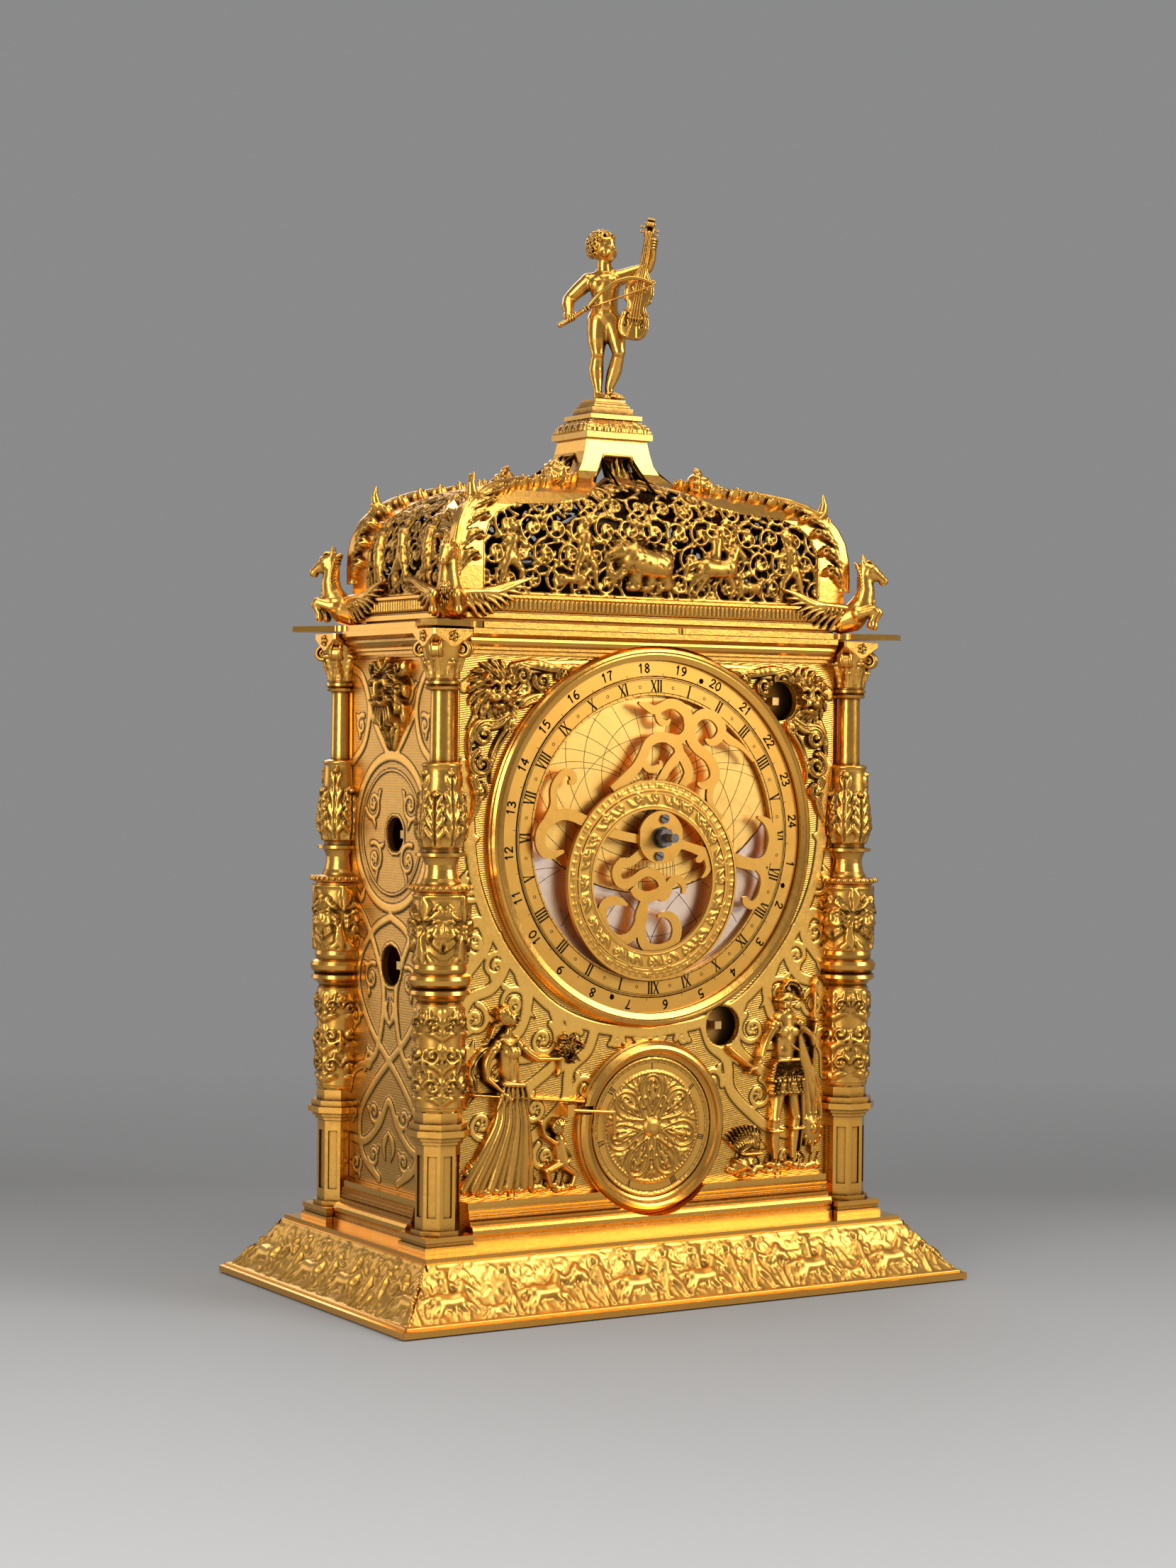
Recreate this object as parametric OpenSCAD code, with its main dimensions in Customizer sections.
/* [Foot] */
// How far the foot's ends stand outside the column axes
foot_out_w = 35.5; // [34:0.5:38]
// How far the foot's front stands outside the column axes
foot_out_d = 39.5; // [38:0.5:41]
// Height of the flared foot with its top plate
base_h = 25.2; // [24:0.2:27]
// How far the flare runs in from floor to top
skirt_run = 19.8; // [18:0.2:21]
// Metal thickness of the foot castings
skirt_t = 2.6; // [2.2:0.1:3]
// Thickness of the plate that closes the foot
floor_t = 1.8; // [1.5:0.1:2.4]

/* [Case] */
// Distance of each column axis from the middle, along the front
col_dx = 98; // [97:0.5:100]
// Distance of each column axis from the middle, front to back
col_dy = 42.5; // [42.5:0.5:44]
// Height of the case above the main bezel
over_dial = 4.2; // [3.6:0.2:5]
// Thickness of the case plates
plate_t = 2.4; // [2:0.1:2.6]
// Depth of the plate faces behind the column axes
plate_in = 1; // [0.6:0.1:1.4]
// Height of the moulding at the foot of the case
plinth_h = 17.4; // [16:0.2:19]
// Height of the cornice moulding
cornice_h = 9.8; // [9:0.2:10.6]
// Thickness of the shaped top plate
top_t = 2.3; // [2:0.1:2.6]
// Reach of the top plate's ears past the column axes
ear_out = 17; // [16:0.5:18]

/* [Columns] */
// Side of the square column foot
col_foot = 22.4; // [21.5:0.1:22.6]
// Width across the flats of the eight-sided die
die_af = 16.2; // [15.6:0.2:17]
// Diameter of the carved drums
drum_d = 18.8; // [18:0.2:19.6]
// Diameter of the plain shaft at its foot
shaft_d = 9.6; // [9:0.2:10]
// Widest diameter of the leafy bulb
bulb_d = 18; // [17:0.2:18.6]

/* [Dome] */
// Width of the dome over its frieze
dome_w = 190; // [188:1:192]
// Depth of the dome over its frieze
dome_d = 90; // [89:1:92]
// Height of the frieze under the roof
frieze_h = 9.6; // [9:0.2:10.2]
// Height of the roof from the frieze to the neck's top
roof_h = 67.5; // [66:0.5:69]
// Thickness of the roof frame
roof_t = 2.2; // [2:0.1:2.6]
// Thickness of the pierced panels
pierced_t = 1.6; // [1.4:0.1:1.8]
// Width of the solid ribs beside the pierced panels
rib_w = 12.5; // [11:0.5:13]
// How far the dome lifts clear for access to the bell
dome_lift = 60; // [40:1:80]

/* [Main dial] */
// Height between the main bezel and the calendar bezel
dial_gap = 5.2; // [4.6:0.2:6]
// Outside diameter of the main bezel
bezel_d = 154.4; // [153:0.2:156]
// Width of the main bezel
bezel_w = 4.6; // [4:0.2:5]
// Width of the outer ring with twenty-four numerals
hour24_w = 7.1; // [6.8:0.1:7.3]
// Width of the fixed chapter ring
chapter_w = 7.2; // [7:0.1:7.4]
// Outside diameter of the zodiac ring
zodiac_d = 81; // [79:0.5:82]
// Width of the zodiac ring
zodiac_w = 11.8; // [11:0.2:12.4]
// Thickness of the rete
rete_t = 1.5; // [1.3:0.1:1.7]
// Diameter of the dial arbor
arbor_d = 5; // [4.6:0.1:5.4]

/* [Calendar dial] */
// Height of the calendar bezel above the case's foot
cal_up = 6.8; // [6.4:0.2:7.4]
// Outside diameter of the calendar bezel
cal_d = 70.4; // [70:0.1:71]
// Width of the calendar bezel
cal_w = 6.4; // [6:0.1:6.8]

/* [Winding] */
// Diameter of the large winding holes
wind_d = 16.4; // [15.6:0.2:16.8]
// Side of the winding squares
square_s = 3.2; // [2.8:0.1:3.3]
// Length of the filed squares
square_len = 9; // [8:0.5:10]

/* [Movement] */
// Radial play of arbors and pivots in their holes
play = 0.06; // [0.03:0.01:0.09]
// Teeth of the large dial wheel
dial_teeth = 108; // [96:12:120]
// Leaves of the pinion that drives the dial wheel
motion_teeth = 12; // [10:1:14]
// Teeth of the great wheel
great_teeth = 72; // [68:4:76]
// Diameter of the bell
bell_d = 62; // [58:1:66]
// Height of the bell
bell_h = 26; // [24:1:28]

/* [Fits] */
// Seam left between cast and soldered pieces
seam = 0.05; // [0.03:0.01:0.08]
// Gap between pieces that move past each other
run_gap = 0.4; // [0.35:0.05:0.5]

/* [Hidden] */
$fn = 48;
gold = [0.86, 0.62, 0.22];
deep = [0.70, 0.46, 0.15];
silver = [0.80, 0.74, 0.70];
steel = [0.30, 0.29, 0.28];
base_w = 2 * (col_dx + foot_out_w);
base_d = 2 * (col_dy + foot_out_d);
// levels
case_z0 = base_h;
cal_z = case_z0 + cal_up + cal_d / 2;
dial_z = cal_z + (cal_d + bezel_d) / 2 + dial_gap;
case_h = dial_z + bezel_d / 2 + over_dial - case_z0;
case_z1 = case_z0 + case_h;
plate_y = col_dy - plate_in;
plate_x = col_dx - plate_in;
front_hw = col_dx - 7.6;
side_hd = col_dy - 7.6;
top_z0 = case_z1 + 0.9;
top_z1 = top_z0 + top_t;
dome_z0 = top_z1 + 1.8;
roof_z0 = dome_z0 + frieze_h;
neck_z1 = roof_z0 + roof_h;
side_a = [-0.8, dial_z - 52.3];
side_b = [-3, dial_z + 0.4];
side_b_d = wind_d - 2.4;
// dial radii
bez_r = bezel_d / 2;
// the winding holes keep beside the main bezel
hole_a = [35.7, dial_z - bez_r - 1.1];
hole_b = [0.747 * (bez_r + 7), dial_z + 0.665 * (bez_r + 7)];
bez_in = bez_r - bezel_w;
h24_r = bez_in - run_gap;
h24_in = h24_r - hour24_w;
chap_r = h24_in - run_gap;
chap_in = chap_r - chapter_w;
rete_turn = -9;
// the net of stars is drawn for a zodiac ring of this diameter, and grows with it
net_drawn = 81;
net_k = zodiac_d / net_drawn;
zod_off = 17.6 * net_k;
hub_r = zodiac_d / 2 - zodiac_w - zod_off - 0.4;
nut_r = arbor_d / 2 + 1.9;
// the hub's screws sit midway between its nut and its rim
hub_screw = (hub_r + nut_r) / 2;
cal_r = cal_d / 2;
cal_in = cal_r - cal_w;
well_r = chap_in + 0.4;
// train
great_mod = 0.8;
great_r = great_teeth * great_mod / 2;
pin2 = 9;
second_teeth = 60;
second_mod = 0.7;
pin3 = 8;
ang2 = 150;
ang3 = 110;
dist2 = (great_teeth + pin2) * great_mod / 2;
dist3 = (second_teeth + pin3) * second_mod / 2;
g2 = [hole_a[0] + dist2 * cos(ang2), hole_a[1] + dist2 * sin(ang2)];
g3 = [g2[0] + dist3 * cos(ang3), g2[1] + dist3 * sin(ang3)];
motion_dist = norm([g2[0], dial_z - g2[1]]);
motion_mod = 2 * motion_dist / (dial_teeth + motion_teeth);
motion_ang = atan2(g2[1] - dial_z, g2[0]);
wind_r = square_s * 0.71 + 0.13;
// levels of the movement, front to back
mf_y0 = plate_y - plate_t - 5.9;
mf_t = 2;
mb_y0 = plate_y - plate_t - 4.7;
wheel_y = plate_y - plate_t - 0.5;
verge_y = 18.5;
verge_z0 = g3[1] - 17;
verge_z1 = g3[1] + 40;

// small builders
module yext(y0, y1) { translate([0, y1, 0]) rotate([90, 0, 0]) linear_extrude(y1 - y0) children(); }
module xext(x0, x1) { translate([x0, 0, 0]) rotate([90, 0, 90]) linear_extrude(x1 - x0) children(); }
module ycyl(p, r, y0, y1) { translate([p[0], y1, p[1]]) rotate([90, 0, 0]) cylinder(h = y1 - y0, r = r); }
module xcyl(p, r, x0, x1) { translate([x0, p[0], p[1]]) rotate([0, 90, 0]) cylinder(h = x1 - x0, r = r); }
module yring(p, r1, r0, y0, y1) {
    difference() {
        ycyl(p, r1, y0, y1);
        ycyl(p, r0, y0 - 1, y1 + 1);
    }
}
module block(x0, x1, y0, y1, z0, z1) { translate([x0, y0, z0]) cube([x1 - x0, y1 - y0, z1 - z0]); }
module box_c(w, d, z0, z1) { translate([-w / 2, -d / 2, z0]) cube([w, d, z1 - z0]); }
// a turned profile about an axis along y, profile given as [radius, distance in front]
module yturn(p, y, prof) { translate([p[0], y, p[1]]) rotate([90, 0, 0]) rotate_extrude($fn = 96)
    polygon(prof); }
module limb(a, b, ra, rb) {
    v = b - a;
    l = norm(v);
    translate(a) rotate([0, acos(v[2] / l), atan2(v[1], v[0])]) cylinder(h = l, r1 = ra, r2 = rb,
        $fn = 24);
}
module ball(p, r) { translate(p) sphere(r = r, $fn = 24); }
module four() {
    for (sx = [-1, 1], sy = [-1, 1]) scale([sx, sy, 1]) children();
}
// smooth curve through hand-set points, each [x, y, width]
function cr(a, b, c, d, t) = 0.5 * ((2 * b) + (c - a) * t + (2 * a - 5 * b + 4 * c - d) * t * t
    + (3 * b - a - 3 * c + d) * t * t * t);
function smooth(p, n = 3) = [for (i = [0:len(p) - 2], k = [0:n - 1])
    cr(p[max(i - 1, 0)], p[i], p[i + 1], p[min(i + 2, len(p) - 1)], k / n), p[len(p) - 1]];
function unit2(v) = [v[0], v[1]] / norm([v[0], v[1]]);
function side(p, i, s) = let (a = p[max(i - 1, 0)], b = p[min(i + 1, len(p) - 1)], u = unit2(b - a))
    [p[i][0] - s * u[1] * p[i][2] / 2, p[i][1] + s * u[0] * p[i][2] / 2];
module stroke(pts, n = 3) {
    q = smooth(pts, n);
    m = len(q) - 1;
    polygon([for (i = [0:m]) side(q, i, 1), for (i = [m:-1:0]) side(q, i, -1)]);
}
module scroll(c, r, w, a0, a1, shrink = 0.55, n = 14) {
    polygon([for (i = [0:n]) let (t = i / n, a = a0 + (a1 - a0) * t, q = r * (1 - shrink * t))
                 [c[0] + q * cos(a), c[1] + q * sin(a)],
             for (i = [n:-1:0]) let (t = i / n, a = a0 + (a1 - a0) * t,
                 q = r * (1 - shrink * t) - w * (1 - 0.35 * t))
                 [c[0] + q * cos(a), c[1] + q * sin(a)]]);
}
// wheel with trapezoid teeth, one tooth centred on the given angle
function toothed(n, m, turn, add, ded, wide) = let (rp = n * m / 2)
    [for (i = [0:n - 1], k = [[-0.5, -ded], [-0.5 * wide - 0.1, -ded], [-0.5 * wide + 0.12, add],
                              [0.5 * wide - 0.12, add], [0.5 * wide + 0.1, -ded]])
        let (a = turn + (i + k[0]) * 360 / n) [(rp + k[1] * m) * cos(a), (rp + k[1] * m) * sin(a)]];
module wheel2d(n, m, turn) { polygon(toothed(n, m, turn, 0.7, 1.0, 0.42)); }
module pinion2d(n, m, turn) { polygon(toothed(n, m, turn, 0.55, 1.15, 0.34)); }
module crossed(r_out, r_in, spoke, arms) {
    difference() {
        circle(r = r_out);
        circle(r = r_in);
        for (i = [0:arms - 1]) rotate(i * 360 / arms) translate([0, -spoke / 2]) square([r_out + 1,
            spoke]);
    }
}

// foot
foot_prof = [[0, 0], [0, 2.4], [-2.6, 3.2], [-6.4, 6], [-11, 10.6], [-15.2, 16.2], [-18, 21],
             [-skirt_run, base_h - floor_t - seam], [-skirt_run - skirt_t, base_h - floor_t - seam],
             [-18 - skirt_t, 20], [-15.2 - skirt_t, 15], [-11 - skirt_t, 9], [-6.4 - skirt_t, 4.6],
                 [-8, 0]];
module foot_bar(len, reach) {
    // bar along x with its outer lower edge at y = -reach, mitred at both ends
    intersection() {
        translate([-len / 2, 0, 0]) rotate([90, 0, 90]) linear_extrude(len)
            polygon([for (p = foot_prof) [-reach - p[0], p[1]]]);
        translate([0, 0, -1]) linear_extrude(base_h + 2)
            polygon([[-len / 2 + seam, -reach - 0.01], [len / 2 - seam, -reach - 0.01],
                     [len / 2 - reach + 30 - seam, -30], [-len / 2 + reach - 30 + seam, -30]]);
    }
}
module foot_long() {
    color(gold) for (s = [0, 180]) rotate([0, 0, s]) foot_bar(base_w, base_d / 2);
}
module foot_short() {
    color(gold) for (s = [90, 270]) rotate([0, 0, s]) foot_bar(base_d, base_w / 2);
}
module base_plate() {
    color(gold) difference() {
        union() {
            box_c(base_w - 2 * skirt_run - 1, base_d - 2 * skirt_run - 1, base_h - floor_t, base_h);
            for (x = [-70, 70]) translate([x, 0, 0])
                box_c(8, base_d - 2 * skirt_run - 2 * skirt_t - 8, base_h - floor_t - 3,
                    base_h - floor_t + 0.01);
        }
        four() translate([col_dx, col_dy, base_h - floor_t - 4]) cylinder(h = floor_t + 5,
            r = 2.5 + seam);
        box_c(110, 46, base_h - floor_t - 1, base_h + 1);
    }
}

// mouldings
// outward distance and height, both from the plate's face and the moulding's foot
plinth_prof = [[0, 0], [9, 0], [9, 2.4], [8.2, 3], [8.2, 4.2], [8.8, 5.4], [8.8, 7], [8, 8.2], [6.4, 8.8],
               [6.4, 9.8], [5.4, 10.4], [5.9, 11.2], [5.2, 11.9], [5.6, 12.7], [4.9, 13.4], [5.2, 14.2],
               [4.4, 14.9], [4.4, plinth_h], [0, plinth_h]];
cornice_prof = [[0, 0], [2.6, 0], [2.6, 1.2], [3.4, 1.6], [3.4, 2.6], [4.4, 3.6], [5, 5], [4.8, 6],
                [5.6, 6.6], [6.8, 7.6], [6.8, cornice_h], [0, cornice_h]];
module bar_run(prof, len, face, z) {
    translate([-len / 2, 0, z]) rotate([90, 0, 90]) linear_extrude(len)
        polygon([for (p = prof) [-face - seam - p[0], p[1]]]);
}
module plinth_mouldings() {
    color(gold) difference() {
        union() {
            for (s = [0, 180]) rotate([0, 0, s]) bar_run(plinth_prof,
                2 * (col_dx - col_foot / 2 - 0.5), plate_y, case_z0);
            for (s = [90, 270]) rotate([0, 0, s]) bar_run(plinth_prof,
                2 * (col_dy - col_foot / 2 - 0.5), plate_x, case_z0);
        }
        ycyl([0, cal_z], cal_r + 0.15, -col_dy - 20, 0);
    }
}
module cornice_mouldings() {
    z = case_z1 - cornice_h + 0.8;
    color(gold) difference() {
        union() {
            for (s = [0, 180]) rotate([0, 0, s]) bar_run(cornice_prof, 2 * (col_dx - 10.4), plate_y, z);
            for (s = [90, 270]) rotate([0, 0, s]) bar_run(cornice_prof, 2 * (col_dy - 10.4), plate_x, z);
        }
        ycyl([0, dial_z], bez_r + 0.15, -col_dy - 20, 0);
    }
}

// columns
shaft_r = shaft_d / 2;
drum_r = drum_d / 2;
bulb_r = bulb_d / 2;
col_prof = [[0, 39], [7, 39], [7, 53.7], [drum_r - 0.6, 53.8], [drum_r, 55], [drum_r, 95.6],
    [drum_r - 0.8, 96.6],
            [drum_r + 0.4, 98], [drum_r + 2.8, 99.6], [drum_r + 2.4, 101], [drum_r + 1.2, 101.8],
            [drum_r + 2.8, 103.4], [drum_r + 3.2, 105.2], [drum_r + 2.6, 106.6], [drum_r + 0.8, 107.6],
            [drum_r + 1.2, 109.4], [drum_r + 0.8, 112], [drum_r + 1, 126], [drum_r + 1, 138.8],
            [drum_r + 2.4, 139.6], [drum_r + 2.9, 140.6], [drum_r + 2.4, 141.6], [drum_r - 1.4, 142.2],
            [drum_r - 1.6, 143], [7, 144.4], [6.3, 147.8], [6.3, 149.6], [7.4, 152.4], [drum_r + 0.6,
                153],
            [drum_r + 0.6, 154.2], [7.2, 154.4], [7.2, 155.4], [bulb_r - 0.8, 159], [bulb_r, 163.6],
                [bulb_r - 0.5, 169],
            [7.6, 178], [7.2, 186], [7.4, 189], [6.4, 189.4], [shaft_r, 189.6], [shaft_r - 0.2, 217],
            [6.4, 217.6], [6.8, 218.4], [6.2, 219.2], [7.1, 219.8], [7.1, 220.8], [6, 221.2],
            [6.2, 225], [7.4, 230], [8.4, 234], [0, 234]];
// the column is drawn at this height and stretched to the case
col_drawn = 241;
module column_body() {
    scale([1, 1, case_h / col_drawn]) union() {
        translate([0, 0, -floor_t + 0.1]) cylinder(h = floor_t + 1, r = 2.5);
        box_c(col_foot, col_foot, 0.05, 2.6);
        box_c(col_foot - 1.6, col_foot - 1.6, 2.5, 4.4);
        box_c(col_foot - 0.4, col_foot - 0.4, 4.3, 6.2);
        rotate([0, 0, 22.5]) cylinder(h = 1.9, r1 = 10.2, r2 = 9.4, $fn = 8);
        rotate([0, 0, 22.5]) translate([0, 0, 6.1]) cylinder(h = 2, r = (die_af + 3) / 2 / cos(22.5),
            $fn = 8);
        difference() {
            rotate([0, 0, 22.5]) translate([0, 0, 8]) cylinder(h = 33.6, r = die_af / 2 / cos(22.5),
                $fn = 8);
            for (a = [0:45:315]) rotate([0, 0, a]) block(die_af / 2 - 0.6, die_af, -1.9, 1.9, 13, 37);
        }
        rotate([0, 0, 22.5]) translate([0, 0, 41.5]) cylinder(h = 1.6,
            r = (die_af + 1.8) / 2 / cos(22.5), $fn = 8);
        rotate([0, 0, 22.5]) translate([0, 0, 43]) cylinder(h = 1.7,
            r = (die_af + 4) / 2 / cos(22.5), $fn = 8);
        rotate([0, 0, 22.5]) translate([0, 0, 44.6]) cylinder(h = 2.4,
            r = (die_af + 7.6) / 2 / cos(22.5), $fn = 8);
        rotate([0, 0, 22.5]) translate([0, 0, 46.9]) cylinder(h = 2.6,
            r = (die_af + 5) / 2 / cos(22.5), $fn = 8);
        rotate([0, 0, 22.5]) translate([0, 0, 49.4]) cylinder(h = 4.4,
            r = (die_af + 1) / 2 / cos(22.5), $fn = 8);
        rotate_extrude($fn = 64) polygon(col_prof);
        for (a = [45:90:315]) rotate([0, 0, a]) {
            translate([8.2, 0, 233]) rotate([90, 0, 0]) cylinder(h = 3.4, r = 3.1, center = true,
                $fn = 32);
            limb([6.4, 0, 225], [8.6, 0, 231.4], 1.3, 1);
        }
        intersection() {
            translate([0, 0, 236]) rotate_extrude($fn = 64)
                polygon([[0, -2.4], [8.6, -2.4], [9.4, 0], [11.6, 2.6], [12, 2.8], [12, 5], [0, 5]]);
            box_c(17.6, 17.6, 200, col_drawn + 1);
        }
    }
}
module column(sx, sy) {
    color(gold) difference() {
        translate([sx * col_dx, sy * col_dy, case_z0]) column_body();
        scale([sx, sy, 1]) {
            block(-col_dx, front_hw + 0.2, -1, plate_y + 0.15, case_z0 - 0.1, case_z1 + 1);
            block(-col_dx, plate_x + 0.15, -1, side_hd + 0.2, case_z0 - 0.1, case_z1 + 1);
            block(-col_dx, plate_x - plate_t + 0.1, -1, plate_y - plate_t + 0.1, case_z0 - 0.1,
                case_z1 + 1);
        }
    }
}
module column_front_left() { column(-1, -1); }
module column_front_right() { column(1, -1); }
module column_back_left() { column(-1, 1); }
module column_back_right() { column(1, 1); }
rivet_z = [case_z0 + 34.8, case_z1 - 16.2];
module corner_posts() {
    color(deep) four() difference() {
        block(plate_x - plate_t - 7.4, plate_x - plate_t - seam, plate_y - plate_t - 7.4,
            plate_y - plate_t - seam, case_z0 + seam, case_z1 - seam);
        for (z = rivet_z) ycyl([plate_x - plate_t - 3.7, z], 1.2, 0, 60);
    }
}

// case plates
module front_plate() {
    color(gold) difference() {
        block(-front_hw, front_hw, -plate_y, -plate_y + plate_t, case_z0 + seam, case_z1 - seam);
        ycyl([0, dial_z], well_r, -60, 0);
        ycyl([0, cal_z], 2.4 + play, -60, 0);
        ycyl(hole_a, wind_d / 2, -60, 0);
        ycyl(hole_b, wind_d / 2, -60, 0);
        for (p = [[-47.5, -15.2], [-47, 35.8], [49.5, 33.3], [30.6, 28.8]]) ycyl(p + [0, cal_z], 0.8,
            -60, 0);
    }
}
module back_plate() {
    color(gold) difference() {
        block(-front_hw, front_hw, plate_y - plate_t, plate_y, case_z0 + seam, case_z1 - seam);
        for (x = [-1, 1], z = rivet_z) ycyl([x * (front_hw - 6), z], 1.2, 30, 60);
    }
}
module left_plate() {
    color(gold) difference() {
        block(-plate_x, -plate_x + plate_t, -side_hd, side_hd, case_z0 + seam, case_z1 - seam);
        xcyl(side_a, wind_d / 2, -120, -80);
        xcyl(side_b, side_b_d / 2, -120, -80);
        xcyl([-26.5, dial_z + 39], 1.4, -120, -80);
        xcyl([-28, dial_z + 13], 1.4, -120, -80);
    }
}
module right_plate() {
    color(gold) block(plate_x - plate_t, plate_x, -side_hd, side_hd, case_z0 + seam, case_z1 - seam);
}

// top plate
module top_outline() {
    mx = col_dx - 14;
    my = col_dy + 7.5;
    ex = col_dx + ear_out;
    ey = col_dy + ear_out;
    difference() {
        union() {
            square([2 * mx, 2 * my], center = true);
            square([2 * (col_dx + 5), 2 * (col_dy - 12)], center = true);
            for (sx = [-1, 1], sy = [-1, 1])
                polygon([[sx * (mx - 14), sy * (my - 12)], [sx * (mx + 2), sy * (my + 1)],
                    [sx * (ex - 5), sy * ey],
                         [sx * ex, sy * (ey - 4)], [sx * (col_dx + 8), sy * (col_dy - 8)],
                             [sx * (col_dx - 2), sy * (col_dy - 20)]]);
        }
        for (sx = [-1, 1], sy = [-1, 1]) {
            translate([sx * (mx + 3.4), sy * (my + 3.2)]) circle(r = 4.2);
            translate([sx * (col_dx + 9.6), sy * (col_dy - 12)]) circle(r = 4.2);
        }
        translate([8, -my - 0.6]) circle(r = 1.8);
    }
}
module top_plate() {
    color(gold) difference() {
        union() {
            translate([0, 0, top_z0]) linear_extrude(top_t) top_outline();
            box_c(dome_w - 9, dome_d - 9, top_z1 - 0.1, dome_z0 - run_gap);
            box_c(dome_w - 10.8 - 2 * run_gap, dome_d - 10.8 - 2 * run_gap, top_z1 - 0.1, dome_z0 + 2.2);
        }
        box_c(dome_w - 16, dome_d - 16, top_z1, dome_z0 + 5);
        cylinder(h = 400, r = 2 + seam);
    }
}

// dome
dhx = dome_w / 2;
dhy = dome_d / 2;
// roof profile as [share of width kept, share of depth kept, height share], frieze to neck
roof_prof = [[0.984, 0.967, 0], [0.985, 0.967, 0.16], [0.979, 0.96, 0.28], [0.963, 0.947, 0.378],
    [0.932, 0.92, 0.46],
             [0.884, 0.882, 0.526], [0.821, 0.827, 0.58], [0.747, 0.764, 0.62], [0.666, 0.696,
                 0.646], [0.579, 0.622, 0.667],
             [0.468, 0.529, 0.686], [0.358, 0.436, 0.708], [0.253, 0.347, 0.745], [0.205, 0.307, 0.794],
             [0.182, 0.282, 0.845], [0.166, 0.271, 0.919], [0.154, 0.258, 1]];
function rz(p) = roof_z0 + p[2] * roof_h;
function rx(p, off) = p[0] * dhx - off;
function ry(p, off) = p[1] * dhy - off;
module roof_solid(off, drop) {
    n = len(roof_prof) - 1;
    intersection() {
        yext(-80, 80) polygon([for (p = roof_prof) [rx(p, off),
            rz(p) - (p[2] > 0 && p[2] < 1 ? drop : 0)],
                               for (i = [n:-1:0]) let (p = roof_prof[i]) [-rx(p, off),
                                   rz(p) - (p[2] > 0 && p[2] < 1 ? drop : 0)]]);
        xext(-120, 120) polygon([for (p = roof_prof) [ry(p, off),
            rz(p) - (p[2] > 0 && p[2] < 1 ? drop : 0)],
                                 for (i = [n:-1:0]) let (p = roof_prof[i]) [-ry(p, off),
                                     rz(p) - (p[2] > 0 && p[2] < 1 ? drop : 0)]]);
    }
}
module roof_shell(t) {
    difference() {
        roof_solid(0, 0);
        roof_solid(t, t * 0.7);
        box_c(2 * rx(roof_prof[0], t), 2 * ry(roof_prof[0], t), roof_z0 - 1, roof_z0 + 1);
        box_c(2 * rx(roof_prof[16], t), 2 * ry(roof_prof[16], t), neck_z1 - 1, neck_z1 + 1);
    }
}
// opening of the ribbed frame, in elevation
function hz(s) = roof_z0 + s * roof_h;
win_long = [[dhx - rib_w - 1.5, hz(0)], [dhx - rib_w - 1.5, hz(0.31)], [dhx - rib_w - 4.5, hz(0.42)],
    [dhx - rib_w - 10, hz(0.49)],
            [dhx - rib_w - 19, hz(0.535)], [dhx - rib_w - 39, hz(0.55)], [dhx - rib_w - 49,
                hz(0.575)], [25, hz(0.63)],
            [18, hz(0.69)], [12.5, hz(0.76)], [9.5, hz(0.83)], [7.2, hz(0.905)]];
win_short = [[dhy - rib_w - 1.5, hz(0)], [dhy - rib_w - 1.5, hz(0.29)], [dhy - rib_w - 4.5, hz(0.4)],
    [dhy - rib_w - 10, hz(0.47)],
             [17.5, hz(0.53)], [12.5, hz(0.6)], [9.5, hz(0.68)], [7.4, hz(0.76)], [6, hz(0.84)], [5,
                 hz(0.905)]];
module window(w, g) {
    n = len(w) - 1;
    polygon([for (p = w) [p[0] - g, p[1] - (p[1] > roof_z0 + 1 ? g : -g)],
             for (i = [n:-1:0]) [-w[i][0] + g, w[i][1] - (w[i][1] > roof_z0 + 1 ? g : -g)]]);
}
module dome_frame() {
    color(gold) difference() {
        roof_shell(roof_t);
        yext(-80, -8) window(win_long, 0);
        yext(8, 80) window(win_long, 0);
        xext(-120, -8) window(win_short, 0);
        xext(8, 120) window(win_short, 0);
    }
}
// pierced scroll-work: rows of round stems that touch, each with a volute curling in to a flower
curl_w = 2.3;
curl_step = 20;
module curl(c, r, a, s) {
    translate(c) difference() {
        circle(r = r, $fn = 40);
        difference() {
            circle(r = r - curl_w, $fn = 40);
            scroll([0, 0], r - 0.4, curl_w, a, a + s * 400, 0.6, 16);
            circle(r = r * 0.24, $fn = 20);
            // leaf between the flower and the stem
            rotate(a + s * 400) translate([r * 0.1, -0.9]) square([r * 0.42, 1.8]);
        }
    }
}
module vine_long() {
    z1 = roof_z0 + 10.8;
    z2 = z1 + 17.2;
    for (s = [-1, 1]) scale([s, 1]) {
        for (i = [0:3]) curl([curl_step * (i + 0.5), z1], curl_step / 2 + 0.7, i % 2 == 0 ? -90 : 90,
            i % 2 == 0 ? 1 : -1);
        for (i = [1:3]) curl([curl_step * i, z2], curl_step / 2 - 0.1, i % 2 == 0 ? -90 : 90,
            i % 2 == 0 ? -1 : 1);
        curl([9.6, z2 + 15.4], 6.4, -90, 1);
        translate([4, hz(0.86)]) circle(r = 3);
        translate([3.4, hz(0.77)]) circle(r = 2.4);
    }
    curl([0, z2], curl_step / 2 - 0.1, -90, 1);
    translate([-1.4, z2 + 8]) square([2.8, 50]);
}
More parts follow.
